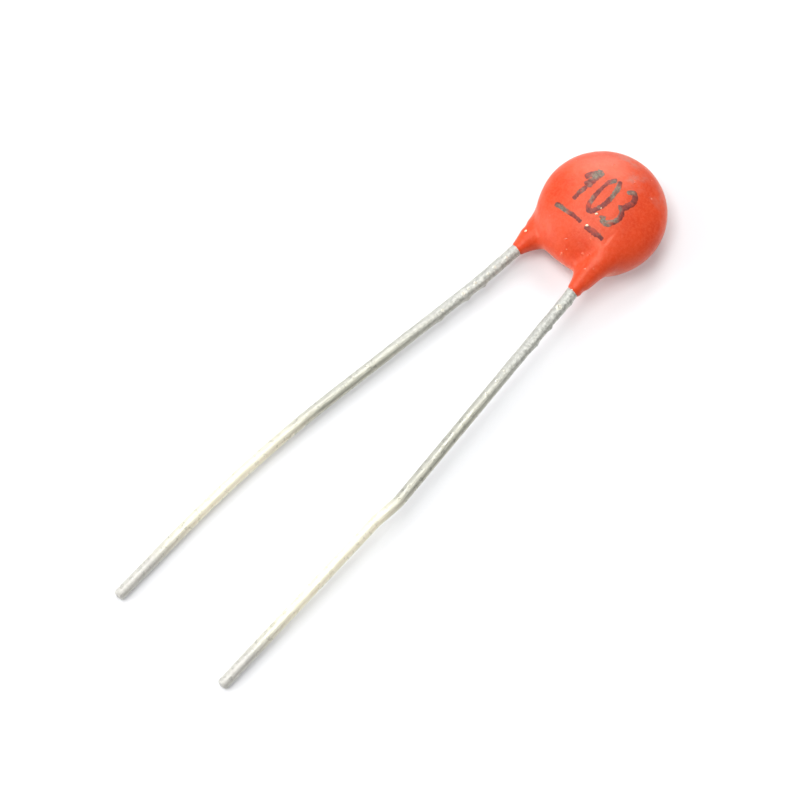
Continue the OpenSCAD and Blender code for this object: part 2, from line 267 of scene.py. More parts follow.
# The dipped resin: the disc lies tipped towards its leads, and body numbers are measured from
# the middle of the ceramic with the faces level
body = {"tilt": 2.49217, "centre": (0.935253, 12.5375, 1.50780)}
resin = {
    "radius": 2.99, "height": 1.5, "fullness": 2.2, "ceramicRadius": 2.5,
    "wireRadius": 0.275, "wireHeight": 0.585, "wireSpacing": 3.52, "wireShift": -0.19,
    "lip": 0.33, "blend": 0.175, "webBlend": 0.28, "skirtTaper": 2.0, "skirtFace": 0.33,
    "skirts": ({"side": -1, "length": 0.73, "heading": 6.5, "root": 0.50,
                "innerRoot": 0.55, "innerLip": 0.36},
               {"side": 1, "length": 0.93, "heading": 4.0, "root": 0.60,
                "innerRoot": 0.04, "innerLip": 0.285}),
    "webHalf": 1.22, "webThickness": 0.32, "webReach": 0.20, "webRun": 0.24,
    # how far the web's free edge drops at the back lead and at the front lead, and how far
    # past the middle of the web this goes on, in shares of its half
    "webArch": (0.15, 0.85), "archEnd": 1.1,
    # how far past the rim, towards the leads, the fan of sections turns, and the least height
    # of the resin over the table
    "fanDrop": 0.4, "rest": 0.001,
    # height, length and seed of the broad unevenness, the fine peel and the ragged lips, and
    # how far the ragged part reaches from a skirt's end and to each side of the wire
    "unevenness": (0.010, 1.7, 3), "peel": (0.0022, 0.33, 5), "ragged": (0.004, 0.3, 7),
    "raggedReach": 0.5, "raggedHalf": 0.6,
    # each bump: x, y on the upper face, height and width, and over what height they start
    "bumps": ((1.20, -2.45, 0.035, 0.22), (1.50, -3.05, 0.020, 0.20),
              (1.75, -2.05, 0.03, 0.3), (-1.15, -2.3, 0.025, 0.3)),
    "bumpFade": 0.3,
    # bounds of the searches: across a section, up and down from its middle, in shares of a
    # spoke, and for the top over a place on the upper face
    "farReach": 7.7, "highReach": 3, "spokeReach": 1.7, "topReach": 2.5,
    # points round a section, and sections in the fan, along each leg and round each end
    "points": 144, "fan": 150, "leg": 16, "end": 9,
    "look": {
        "sockets": {"Specular_IOR_Level": 0.32, "Specular_Tint": (1.0, 0.92, 0.76, 1),
                    "Sheen_Weight": 0.36, "Sheen_Roughness": 0.35,
                    "Sheen_Tint": (1.0, 0.80, 0.62, 1), "Subsurface_Weight": 0.35,
                    "Subsurface_Scale": 0.0005, "Subsurface_Radius": (1.0, 0.35, 0.2)},
        "darkTone": (0.66, 0.052, 0.013), "lightTone": (0.73, 0.070, 0.019),
        "cloudy": (900, 4, 0.6, 0.35, 0.65),
        "grain": (7000, 3, 0.7, 0.42, 0.62), "grainTone": (0.95, 0.22, 0.11), "grainShare": 0.14,
        # greyed smudges where the skin is rubbed, beside the rim
        "rubbedPlaces": ((0.00044, 0.01495, 0.00250), (0.00131, 0.01434, 0.00260),
                         (0.00244, 0.01451, 0.00230)),
        "rubbedSize": (0.0001, 0.0007), "rubbed": (2100, 4, 0.6, 0.42, 0.70),
        "rubbedTone": (0.45, 0.32, 0.28), "rubbedShare": 0.5, "rubbedMatte": 0.25,
        # pale pinholes
        "pitScale": 2600.0, "pitSize": (0.09, 0.16), "pitted": (1500, 2, 0.5, 0.60, 0.66),
        "pitTone": (0.95, 0.50, 0.34), "pitShare": 0.45, "pitDepth": 0.8,
        "gloss": (2400, 4, 0.6, 0.3, 0.7, 0.34, 0.48),
        "relief": (4200, 3, 0.6), "reliefDepth": (0.000014, 0.8)},
}


def toPart(p):
    t = np.radians(body["tilt"])
    x, y, z = p[..., 0], p[..., 1], p[..., 2]
    turned = np.stack([x, y * np.cos(t) - z * np.sin(t), y * np.sin(t) + z * np.cos(t)], -1)
    return turned + np.array(body["centre"])


def roundedForm(p, halfSizes, fullness):
    # (length of p in half sizes, less one) over its slope: about the distance to the form
    q = np.abs(p) / halfSizes + 1e-6
    k = (q ** fullness).sum(-1) ** (1 / fullness)
    slope = np.linalg.norm((q / k[..., None]) ** (fullness - 1) / halfSizes, axis=-1)
    return (k - 1) / slope


def skirtEnd(skirt):
    r = resin
    run = np.sqrt(r["lip"] ** 2 - r["wireRadius"] ** 2)
    return np.array([r["wireShift"] + skirt["side"] * r["wireSpacing"] / 2,
                     -(r["radius"] + skirt["length"] - run), skirt["side"] * r["wireHeight"]])


def skirtAxis(skirt):
    h = np.radians(skirt["heading"])
    return np.array([skirt["side"] * np.sin(h), -np.cos(h), 0])


def alongSkirt(p, skirt):
    # Each point's distance past the skirt's end, and its distance across the wire
    v, axis = p - skirtEnd(skirt), skirtAxis(skirt)
    return v @ axis, v @ np.cross(axis, [0, 0, 1])


def webHeight(x):
    share = (x - resin["wireShift"]) / (resin["wireSpacing"] / 2)
    return resin["wireHeight"] * np.clip(share, -1, 1)


def softLeast(distances, blend):
    # A soft minimum: minus the blend times the log of the sum of exp(-distance / blend)
    d = np.array(distances)
    least = d.min(0)
    return least - blend * np.log(np.exp((least - d) / blend).sum(0))


def webDepth(p):
    # The web's free edge is an arch: it drops towards the leads at its two ends
    r = resin
    x, y, z = p[..., 0], p[..., 1], p[..., 2]
    u = (x - r["wireShift"]) / (r["wireSpacing"] / 2 - r["wireRadius"])
    u = np.clip(u, -r["archEnd"], r["archEnd"])
    arch = np.where(u < 0, r["webArch"][0] * u ** 2, r["webArch"][1] * u ** 3)
    webY = -(r["ceramicRadius"] + r["webReach"] - r["webRun"] + arch)
    half = np.array([r["webHalf"], r["webRun"], r["webThickness"]])
    return roundedForm(np.stack([x - r["wireShift"], y - webY, z - webHeight(x)], -1), half, 2)


def skirtDepth(p, skirt):
    # An ellipse across the wire that grows from the lip to the root. The side towards the
    # other skirt swells sooner than the outer side.
    r = resin
    s, across = alongSkirt(p, skirt)
    over = np.maximum(np.maximum(s, 0), -s - r["skirtTaper"])
    grown = np.clip(-s / r["skirtTaper"], 0, 1)
    swollen = np.sin(np.pi / 2 * grown)
    inner = across * skirt["side"] > 0
    lip = np.where(inner, skirt["innerLip"], r["lip"])
    root = np.where(inner, skirt["innerRoot"], skirt["root"])
    wide = lip + np.where(inner, swollen, grown) * (r["wireRadius"] + root - lip)
    high = r["lip"] + swollen * (r["wireRadius"] + r["skirtFace"] - r["lip"])
    return roundedForm(np.stack([across, over, p[..., 2] - skirtEnd(skirt)[2]], -1),
                       np.stack([wide, wide, high], -1), 2)


def depth(p):
    # The web flows widely into a tapered skirt round each wire, and all of it into the lens
    # over the disc
    r = resin
    flat = np.stack([np.hypot(p[..., 0], p[..., 1]), 0 * p[..., 0], p[..., 2]], -1)
    lens = roundedForm(flat, np.array([r["radius"], r["radius"], r["height"]]), r["fullness"])
    parts = [webDepth(p)] + [skirtDepth(p, skirt) for skirt in r["skirts"]]
    return softLeast([lens, softLeast(parts, r["webBlend"])], r["blend"])


def outward(p, step=0.004):
    # The direction in which depth grows fastest
    moves = np.eye(3) * step
    return unit(np.stack([depth(p + m) - depth(p - m) for m in moves], -1))


def ripple(p, height, length, seed):
    return height * waves(p, length, seed)


def skinRise(p):
    # How far the dipped skin stands off the smooth form: broad unevenness, fine peel, bumps
    # where the resin ran down the skirts, and a ragged edge round each wire
    r = resin
    rise = ripple(p, *r["unevenness"]) + ripple(p, *r["peel"])
    fade = np.clip((p[..., 2] - webHeight(p[..., 0])) / r["bumpFade"], 0, 1)
    for x, y, height, width in r["bumps"]:
        away = np.hypot(p[..., 0] - x, p[..., 1] - y) / width
        rise = rise + height * np.exp(-away ** 2) * fade
    for skirt in r["skirts"]:
        s, across = alongSkirt(p, skirt)
        close = np.clip(1 + (s - r["lip"]) / r["raggedReach"], 0, 1)
        rise = rise + close * (np.abs(across) < r["raggedHalf"]) * ripple(p, *r["ragged"])
    return rise


def resinSections():
    # Upright sections from the back skirt's end, round the disc like the ribs of a fan, to the
    # front skirt's end: a point inside the resin and the outward direction of each
    r = resin
    pivot = np.array([r["wireShift"], -r["radius"] - r["fanDrop"]])
    starts, outs, poles = [], [], []
    for skirt in r["skirts"]:
        end, axis = skirtEnd(skirt), skirtAxis(skirt)
        h = np.radians(skirt["heading"])
        out = np.array([skirt["side"] * np.cos(h), np.sin(h)])
        run = (pivot - end[:2]) @ -axis[:2]
        turn = np.linspace(0, np.pi / 2, r["end"] + 1)[1:]
        s = np.concatenate([r["lip"] * np.cos(turn), -run * np.arange(1, r["leg"]) / r["leg"]])
        starts.append(end[:2] + s[:, None] * axis[:2])
        outs.append(np.broadcast_to(out, (len(s), 2)))
        poles.append(end + r["lip"] * axis)
    back, front = r["skirts"]
    turn = np.radians(np.linspace(180 - back["heading"], front["heading"], r["fan"] + 1))
    ribs = np.stack([np.cos(turn), np.sin(turn)], -1)
    middle = pivot + r["wireSpacing"] / 2 * ribs
    return (np.vstack([starts[0], middle, starts[1][::-1]]),
            np.vstack([outs[0], ribs, outs[1][::-1]]), np.array(poles))


def resinSurface():
    # Each section is a closed curve: a search along the spokes of an ellipse as wide and as
    # high as the resin is there
    r = resin
    start, out, poles = resinSections()
    z = webHeight(start[:, 0])

    def at(along, height):
        return np.concatenate([start + along[:, None] * out, height[:, None]], -1)

    far = halving(lambda t: depth(at(t, z)) < 0, 0 * z, r["farReach"])
    back = halving(lambda t: depth(at(-t, z)) < 0, 0 * z, r["wireSpacing"] / 2)
    middle, wide = (far - back) / 2, (far + back) / 2
    top = halving(lambda t: depth(at(middle, z + t)) < 0, 0 * z, r["highReach"])
    low = halving(lambda t: depth(at(middle, z - t)) < 0, 0 * z, r["highReach"])
    height, high = z + (top - low) / 2, (top + low) / 2
    turn = 2 * np.pi * np.arange(r["points"]) / r["points"]
    level, upright = np.cos(turn), np.sin(turn)

    def spoke(share):
        along = middle[:, None] + share * wide[:, None] * level
        rise = height[:, None] + share * high[:, None] * upright
        plan = start[:, None, :] + along[..., None] * out[:, None, :]
        return np.concatenate([plan, rise[..., None]], -1)

    share = halving(lambda t: depth(spoke(t)) < 0, np.zeros((len(z), r["points"])),
                    r["spokeReach"])
    skin = spoke(share)
    return skin + outward(skin) * skinRise(skin)[..., None], poles


def resinMaterial():
    k = resin["look"]
    tree, shader, material = newMaterial("dippedResin", **k["sockets"])
    at = coordinates(tree)
    colour = mix(tree, patches(tree, at, *k["cloudy"]), k["darkTone"], k["lightTone"])
    grain = times(tree, patches(tree, at, *k["grain"]), k["grainShare"])
    colour = mix(tree, grain, colour, k["grainTone"])
    worn = 0.0
    for place in k["rubbedPlaces"]:
        worn = larger(tree, worn, near(tree, at, place, *k["rubbedSize"]))
    rubbed = times(tree, worn, patches(tree, at, *k["rubbed"]))
    colour = mix(tree, times(tree, rubbed, k["rubbedShare"]), colour, k["rubbedTone"])
    pits = node(tree, "TexVoronoi", {"Vector": at, "Scale": k["pitScale"]}).outputs["Distance"]
    pits = times(tree, spread(tree, pits, *k["pitSize"], 1.0, 0.0),
                 patches(tree, at, *k["pitted"]))
    colour = mix(tree, times(tree, pits, k["pitShare"]), colour, k["pitTone"])
    rough = math(tree, "ADD", patches(tree, at, *k["gloss"]),
                 times(tree, rubbed, k["rubbedMatte"]))
    height = math(tree, "SUBTRACT", noise(tree, at, *k["relief"]),
                  times(tree, pits, k["pitDepth"]))
    plug(tree, shader, Base_Color=colour, Roughness=rough,
         Normal=bump(tree, height, *k["reliefDepth"]))
    return material


def addResin():
    skin, poles = resinSurface()
    points = toPart(np.vstack([skin.reshape(-1, 3), poles]))
    points[:, 2] = np.maximum(points[:, 2], resin["rest"])
    piece = addPiece("dippedResin", points, closedFaces(*skin.shape[:2]), resinMaterial())
    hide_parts("coating")


addResin()
print("resin dipped")


# The tinned wires: a grainy dip of tin near the resin, a stretch beyond it painted near white as
# a painted highlight, and cut ends.
# Sides are in degrees: 0 faces -X, 90 is on top and 180 faces +X. The flow attribute goes
# round a circle with the side, and its Z is the distance from the resin.
wires = {
    "radius": 0.275, "step": 0.035, "around": 60, "arcPoints": 12,
    # the cut end: radius of its rounded edge, the rings on that edge in degrees, how far the
    # last ring is drawn in across the flat, the least gap to the ring before, least radius
    "rounding": 0.16, "roll": (0, 15, 30, 45, 60, 72, 82, 90, 90), "flatEnd": 0.06,
    "ringGap": 0.01, "leastRadius": 0.01,
    # the grain: height and length, the same in shares for a coarser grain, and the two seeds
    "grain": 0.0022, "grainLength": 0.16, "coarse": (0.8, 2.4), "grainSeeds": (11, 12),
    # its share all over, how much more it has near the resin and how far that reaches, and
    # the lengths over which it dies away at the cut end and inside the resin
    "busy": (0.35, 1.5), "grainReach": 5.0, "calm": (0.6, 0.5), "flowRadius": 0.3,
    # beads of tin: size against their list, how deep they sit, rows and points round
    "beadScale": 1.3, "beadSink": 0.3, "beadGrid": (7, 12),
    # the beads' near-white tones are a painted glint on each bead
    "beadGlintFinish": {"tones": ((0.97, 0.95, 0.80), (1.0, 0.99, 0.88)),
                   "patchy": (9000, 2, 0.5, 0.4, 0.6),
                   "gloss": (12000, 2, 0.5, 0.3, 0.7, 0.16, 0.32), "Metallic": 0.08},
    "look": {
        # darker and lighter tone of each stretch
        "dullTones": ((0.40, 0.40, 0.36), (0.72, 0.72, 0.66)),
        "plainTones": ((0.46, 0.455, 0.38), (0.69, 0.68, 0.575)),
        # the bright stretch's tones are a painted highlight: near-white cream where a lamp glints
        # off the wire
        "highlightTones": ((0.86, 0.81, 0.61), (1.0, 0.97, 0.80)),
        "tipTones": ((0.57, 0.555, 0.51), (0.66, 0.645, 0.595)),
        # drawn streaks run along the wire, so their pattern is stretched that way
        "stretch": (9.0, 9.0, 1.1), "streak": (1.6, 5, 0.65, 0.36, 0.64),
        "grain": (7000, 4, 0.65, 0.38, 0.62),
        # painted shade: a grey film that darkens the side that faces -X, towards the lamps, and a
        # dark line painted on the side that faces +X as the reflection of the wire's own shadow,
        # by the flow's X: both break off here and there and are fainter on the painted highlight
        # and ends
        "film": (0.30, 0.30, 0.285), "shadeFilmShare": 0.68, "shadeFilmEdge": (-0.07, 0.08),
        # the dark line's tone, and its warmer tone on the painted highlight, are painted shade
        "line": (0.16, 0.15, 0.12), "shadeLineToneOnHighlight": (0.80, 0.60, 0.40), "shadeLineShare": 0.46,
        "shadeLineEdges": ((-0.155, -0.20), (-0.262, -0.285)), "shadeLineShareOnHighlight": 0.55,
        "broken": (2.2, 4, 0.6, 0.34, 0.58, 0.55, 1.0), "tipShare": 0.5,
        # tarnish in the hollows and a few dark nicks: their share off and on the painted
        # highlight and the ends
        "nicks": (3800, 3, 0.7, 0.62, 0.74), "nickShare": (0.38, 0.06),
        "nickTone": (0.30, 0.28, 0.21),
        # bare metal shows most between the matte dip and the painted highlight
        "metal": (0.30, 0.14),
        # smoother scraps of tin catch the light beyond the dip, whose roughness follows its grain
        "scraps": (3000, 3, 0.6, 0.44, 0.60, 0.52, 0.26), "dullRough": (0.42, 0.56),
        "relief": (2.4, 4, 0.6), "fineRelief": (7000, 4, 0.65), "fineShare": (0.6, 1.6),
        "reliefDepth": (0.00002, 0.7)},
    "front": {
        "route": ((2.17047, 13.611, 2.14008), (2.57378, 7.84886, 1.88929),
                  (3.0306, -4.04237, 1.06835), (2.84967, -5.32972, 0.978664),
                  (2.63606, -15.5275, 0.275)),
        # radius of each bend, and how far along the route the resin ends
        "bends": (20, 3, 3), "resin": 4.89,
        # distances from the resin: where the dull dip ends, where the painted highlight starts,
        # and where the plain end starts, then the painted shade film's share on the painted
        # highlight
        "dull": (4.2, 7.5), "paintedHighlight": (12.3, 14.0), "tip": (19.6, 22.6), "shadeFilmOnHighlight": 0.32,
        # each lump: distance from the resin, height, length, side in degrees and spread round
        "lumps": ((0.20, 0.02, 0.25, 90, 200), (1.0, 0.025, 0.45, 120, 200),
                  (2.3, 0.012, 0.5, 60, 160), (3.3, 0.02, 0.35, 200, 160),
                  (4.6, 0.012, 0.4, 40, 140), (6.3, 0.012, 0.3, 120, 120),
                  (0.66, 0.050, 0.13, 184, 70), (2.11, 0.050, 0.12, 182, 70),
                  (3.13, 0.035, 0.10, 186, 60), (18.2, -0.04, 0.08, 200, 50)),
        # each bead of tin: distance from the resin, side in degrees and radius
        "beads": ((1.19, 92, 0.12), (5.67, 88, 0.07), (6.42, 90, 0.07), (0.14, 86, 0.05),
                  (5.08, 75, 0.045), (8.79, 92, 0.05), (9.60, 84, 0.045),
                  (11.97, 84, 0.055), (12.7, 84, 0.05))},
    "back": {
        "route": ((-0.486361, 13.6619, 0.97119), (-1.29576, 6.56456, 0.662282),
                  (-3.47015, -6.86049, 0.425028), (-3.65025, -15.4586, 0.275)),
        "bends": (30, 70), "resin": 4.84,
        "dull": (4.0, 8.5), "paintedHighlight": (11.8, 15.5), "tip": (19.0, 22.4), "shadeFilmOnHighlight": 0.55,
        "lumps": ((0.2, 0.015, 0.25, 60, 200), (1.3, 0.02, 0.35, 30, 160),
                  (2.3, 0.025, 0.3, 170, 140), (3.3, 0.025, 0.3, 180, 140),
                  (4.8, 0.02, 0.3, 180, 120), (6.6, 0.012, 0.3, 50, 140),
                  (2.26, 0.045, 0.13, 184, 70), (3.25, 0.055, 0.13, 186, 70),
                  (4.83, 0.040, 0.12, 184, 65), (17.2, -0.04, 0.08, 10, 50)),
        "beads": ((0.67, 97, 0.05), (1.40, 91, 0.065), (1.83, 100, 0.05), (2.56, 89, 0.06),
                  (2.99, 95, 0.05), (3.32, 102, 0.075), (4.57, 105, 0.06), (7.24, 96, 0.04),
                  (8.91, 80, 0.045), (9.76, 84, 0.045), (10.58, 93, 0.05))},
}


def centreLine(route, bends):
    # Straight stretches joined by arcs that touch them, then points a step apart along it
    p = np.array(route, float)
    line = [p[:1]]
    for before, corner, after, radius in zip(p[:-2], p[1:-1], p[2:], bends):
        u, v = unit(corner - before), unit(after - corner)
        angle = np.arccos(np.clip(u @ v, -1, 1))
        towards = unit(v - (u @ v) * u)
        start = corner - radius * np.tan(angle / 2) * u
        turn = np.linspace(0, angle, wires["arcPoints"])[:, None]
        line.append(start + radius * np.sin(turn) * u + radius * (1 - np.cos(turn)) * towards)
    line = np.vstack(line + [p[-1:]])
    run = runOf(line)
    s = np.linspace(0, run[-1], int(run[-1] / wires["step"]) + 1)
    return followed(s, run, line), s


def acrossWire(heading):
    # The level and the upright direction across the wire
    level = unit(np.cross(unit(heading), [0, 0, 1]))
    return level, np.cross(level, unit(heading))


def wireRings(wire):
    # The centre line with closer rings round its cut edge, and how far each one is drawn in
    w = wires
    line, s = centreLine(wire["route"], wire["bends"])
    roll = np.radians(w["roll"])
    tip = s[-1] - w["rounding"] * (1 - np.sin(roll))
    inset = w["rounding"] * (1 - np.cos(roll))
    inset[-1] += w["flatEnd"]
    keep = s < tip[0] - w["ringGap"]
    rings = np.concatenate([s[keep], tip])
    line = followed(rings, s, line)
    # the end's rings share the heading of the straight wire just before them
    heading = np.gradient(line, axis=0)
    last = len(roll) + 1
    heading[-last:] = line[-last - 2] - line[-last - 10]
    return line, rings, np.concatenate([np.zeros(keep.sum()), inset]), heading


def wireSurface(wire):
    # A circle carried along the centre line. Its radius is the wire's, plus each lump's height
    # times two bell curves, one along the wire and one round it, plus slow waves.
    w = wires
    line, rings, inset, heading = wireRings(wire)
    level, upright = acrossWire(heading)
    turn = 2 * np.pi * np.arange(w["around"]) / w["around"]
    beyond = rings - wire["resin"]
    radius = np.full((len(rings), w["around"]), w["radius"])
    for place, height, length, side, width in wire["lumps"]:
        away = np.abs((turn - np.radians(side) + np.pi) % (2 * np.pi) - np.pi)
        away = away / np.radians(width / 2)
        bell = np.exp(-((beyond - place) / length) ** 2)[:, None] * np.exp(-away ** 2)[None]
        radius = radius + height * bell
    flow = np.stack([w["flowRadius"] * np.cos(turn)[None] + 0 * beyond[:, None],
                     w["flowRadius"] * np.sin(turn)[None] + 0 * beyond[:, None],
                     beyond[:, None] + 0 * turn[None]], -1)
    calmTip, calmResin = w["calm"]
    calm = np.clip((rings[-1] - rings) / calmTip, 0, 1) * np.clip(beyond / calmResin + 1, 0, 1)
    plain, extra = w["busy"]
    busy = plain + extra * np.exp(-(beyond / w["grainReach"]) ** 2)
    coarseShare, coarseLength = w["coarse"]
    grain = (waves(flow, w["grainLength"], w["grainSeeds"][0]) + coarseShare
             * waves(flow, coarseLength * w["grainLength"], w["grainSeeds"][1]))
    radius = radius + (w["grain"] * calm * busy)[:, None] * grain
    radius = np.maximum(radius - inset[:, None], w["leastRadius"])[..., None]
    points = (line[:, None] + radius * (np.cos(turn)[None, :, None] * level[:, None]
                                        + np.sin(turn)[None, :, None] * upright[:, None]))
    points[..., 2] = np.maximum(points[..., 2], 0)
    return points, np.array([line[0], line[-1]]), flow


def wireMaterial(name, wire):
    k = wires["look"]
    tree, shader, material = newMaterial(name + "Tin")
    flow, parts = attribute(tree, "flow")
    side, away = parts["X"], parts["Z"]
    at = coordinates(tree)
    dull = spread(tree, away, *wire["dull"], 1.0, 0.0)
    tip = spread(tree, away, *wire["tip"])
    paintedHighlight = times(tree, spread(tree, away, *wire["paintedHighlight"]), math(tree, "SUBTRACT", 1.0, tip))
    stretched = node(tree, "Mapping", {"Vector": flow, "Scale": k["stretch"]}).outputs["Vector"]
    streak = patches(tree, stretched, *k["streak"])
    grain = patches(tree, at, *k["grain"])
    colour = mix(tree, dull, mix(tree, streak, *k["plainTones"]),
                 mix(tree, grain, *k["dullTones"]))
    colour = mix(tree, tip, colour, mix(tree, grain, *k["tipTones"]))
    # painted highlight: the bright stretch is painted in near-white cream
    colour = mix(tree, paintedHighlight, colour, mix(tree, streak, *k["highlightTones"]))
    # painted shade: the film on the side towards the lamps and the dark line on the far side
    covered = larger(tree, tip, paintedHighlight)
    kept = spread(tree, tip, 0, 1, 1.0, k["tipShare"])
    broken = patches(tree, stretched, *k["broken"])
    film = times(tree, spread(tree, side, *k["shadeFilmEdge"], 0.0, k["shadeFilmShare"]), broken)
    film = times(tree, film,
                 times(tree, kept, spread(tree, paintedHighlight, 0, 1, 1.0, wire["shadeFilmOnHighlight"])))
    colour = mix(tree, film, colour, k["film"])
    upper, lower = k["shadeLineEdges"]
    line = times(tree, spread(tree, side, *upper, 0.0, k["shadeLineShare"]),
                 spread(tree, side, *lower, 1.0, 0.0))
    line = times(tree, times(tree, line, broken),
                 times(tree, kept, spread(tree, paintedHighlight, 0, 1, 1.0, k["shadeLineShareOnHighlight"])))
    colour = mix(tree, line, colour, mix(tree, paintedHighlight, k["line"], k["shadeLineToneOnHighlight"]))
    nicks = times(tree, patches(tree, at, *k["nicks"]),
                  spread(tree, covered, 0, 1, *k["nickShare"]))
    colour = mix(tree, nicks, colour, k["nickTone"])
    metal = spread(tree, larger(tree, dull, covered), 0, 1, *k["metal"])
    rough = mix(tree, dull, patches(tree, at, *k["scraps"]),
                spread(tree, grain, 0, 1, *k["dullRough"]))
    fine = times(tree, noise(tree, at, *k["fineRelief"]),
                 spread(tree, dull, 0, 1, *k["fineShare"]))
    height = math(tree, "ADD", noise(tree, stretched, *k["relief"]), fine)
    plug(tree, shader, Base_Color=colour, Metallic=metal, Roughness=rough,
         Normal=bump(tree, height, *k["reliefDepth"]))
    return material


def addBeads():
    # Small balls of tin that stand half out of the wires' skin, painted near white as painted
    # glints
    rows, columns = wires["beadGrid"]
    u = np.linspace(0, np.pi, rows + 2)[1:-1, None]
    v = np.linspace(0, 2 * np.pi, columns + 1)[None, :-1]
    ball = np.stack([np.sin(u) * np.cos(v), np.sin(u) * np.sin(v), np.cos(u) + 0 * v], -1)
    ball = np.vstack([ball.reshape(-1, 3), [[0, 0, 1], [0, 0, -1]]])
    points = []
    for wire in (wires["front"], wires["back"]):
        line, s = centreLine(wire["route"], wire["bends"])
        level, upright = acrossWire(np.gradient(line, axis=0))
        for place, side, radius in wire["beads"]:
            size, turn = radius * wires["beadScale"], np.radians(side)
            middle, a, b = (followed(place, s - wire["resin"], part)
                            for part in (line, level, upright))
            out = np.cos(turn) * a + np.sin(turn) * b
            middle = middle + (wires["radius"] - wires["beadSink"] * size) * out
            points.append(middle + size * ball)
    addPiece("tinBeads", np.vstack(points), copies(closedFaces(rows, columns), len(points),
             len(ball)), grainyMaterial("beadTinPaintedGlint", **wires["beadGlintFinish"]))


def addWires():
    for name, cadNode in (("front", "front_lead"), ("back", "back_lead")):
        points, poles, flow = wireSurface(wires[name])
        ends = np.vstack([flow[0].mean(0), flow[-1].mean(0)])
        piece = addPiece(name + "Wire", np.vstack([points.reshape(-1, 3), poles]),
                         closedFaces(*points.shape[:2]), wireMaterial(name, wires[name]),
                         {"flow": np.vstack([flow.reshape(-1, 3), ends])})
        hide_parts(cadNode)


addWires()
addBeads()
print("wires drawn")


# The printed code: strokes of ink on the upper face, a general three-digit value over a bar
printing = {
    "origin": (-1.50, -0.72), "angle": 1.0, "slant": 3, "height": 1.96, "width": 0.76,
    "pitch": 0.93, "thickness": 0.006, "sink": 0.010, "under": 0.004,
    # each stroke: which digit it belongs to, half its width, and its points in shares of a
    # digit's width and height
    "strokes": ((0, 0.170, ((0.00, 0.58), (0.28, 0.78), (0.62, 1.0))),
                (0, 0.240, ((0.62, 1.0), (0.56, 0.72), (0.50, 0.40))),
                (0, 0.140, ((0.52, 0.45), (0.50, 0.20), (0.46, -0.02)))),
    # each round stroke: the same, then arcs of middle, half sizes, degrees from and to, points
    "rounds": ((1, 0.135, (((0.5, 0.5), (0.42, 0.5), 95, 455, 40),)),
               (2, 0.170, (((0.46, 0.76), (0.37, 0.24), 150, -90, 24),
                           ((0.46, 0.26), (0.44, 0.26), 90, -150, 28)))),
    # each run of the bar: half its width, then its two ends in millimetres
    "bar": ((0.135, ((-0.20, -0.60), (1.42, -0.62))), (0.165, ((1.60, -0.66), (2.72, -0.66)))),
    # a stroke's points: gap along it, fewest, and how many across
    "step": 0.035, "fewest": 8, "across": 9,
    # its ends close in over this share of half its width, down to this much squared
    "endShare": 0.7, "endLeast": 0.02, "crownPower": 4,
    # height and length of the broad and the fine unevenness of its sides, and the first seed
    "ragged": ((0.20, 0.60), (0.12, 0.11)), "seed": 40, "seedStep": 5,
    "look": {
        # dark plum ink, greyer where it is thick, each with its darker and its worn tone
        "plum": (5200, 4, 0.7, 0.38, 0.62), "plumTones": ((0.13, 0.020, 0.018),
                                                          (0.26, 0.045, 0.032)),
        "grey": (7500, 3, 0.7, 0.40, 0.60), "greyTones": ((0.13, 0.10, 0.075),
                                                          (0.25, 0.20, 0.145)),
        "thick": (1300, 2, 0.5, 0.50, 0.62),
        # the resin shows through specks, thin patches and the ragged edges
        "specks": (9000, 4, 0.7, 0.56, 0.70), "speckShare": 0.45,
        "thin": (1900, 4, 0.6, 0.54, 0.78, 0.0, 0.65),
        "edge": (7000, 4, 0.65), "edgeSway": 1.6, "edgeFade": (0.70, 1.15),
        "gloss": (5000, 3, 0.5, 0.3, 0.7, 0.38, 0.58),
        "relief": (9000, 3, 0.7), "reliefDepth": (0.000008, 0.6)},
}


def arc(middle, halfSizes, first, last, count):
    turn = np.radians(np.linspace(first, last, count))
    return np.array(middle) + np.stack([np.cos(turn), np.sin(turn)], -1) * halfSizes


def strokePaths():
    # Every stroke of the code: its points in body numbers and half its width
    p = printing
    drawn = [(np.array(path), place, half) for place, half, path in p["strokes"]]
    drawn += [(np.vstack([arc(*part) for part in arcs]), place, half)
              for place, half, arcs in p["rounds"]]
    digit = np.array([p["width"], p["height"]])
    flat = [(path * digit + [place * p["pitch"], 0], half) for path, place, half in drawn]
    flat += [(np.array(path), half) for half, path in p["bar"]]
    a, lean = np.radians(p["angle"]), np.tan(np.radians(p["slant"]))
    across = np.array([np.cos(a), np.sin(a)])
    upwards = np.array([-np.sin(a), np.cos(a)]) + lean * across
    return [(np.array(p["origin"]) + path[:, :1] * across + path[:, 1:] * upwards, half)
            for path, half in flat]


def resinTop(plan):
    # Height of the dipped skin over a place on the upper face
    def at(z):
        return np.concatenate([plan, z[..., None]], -1)

    z = halving(lambda t: depth(at(t)) < 0, np.zeros(plan.shape[:-1]), resin["topReach"])
    return z + skinRise(at(z)) / outward(at(z))[..., 2]


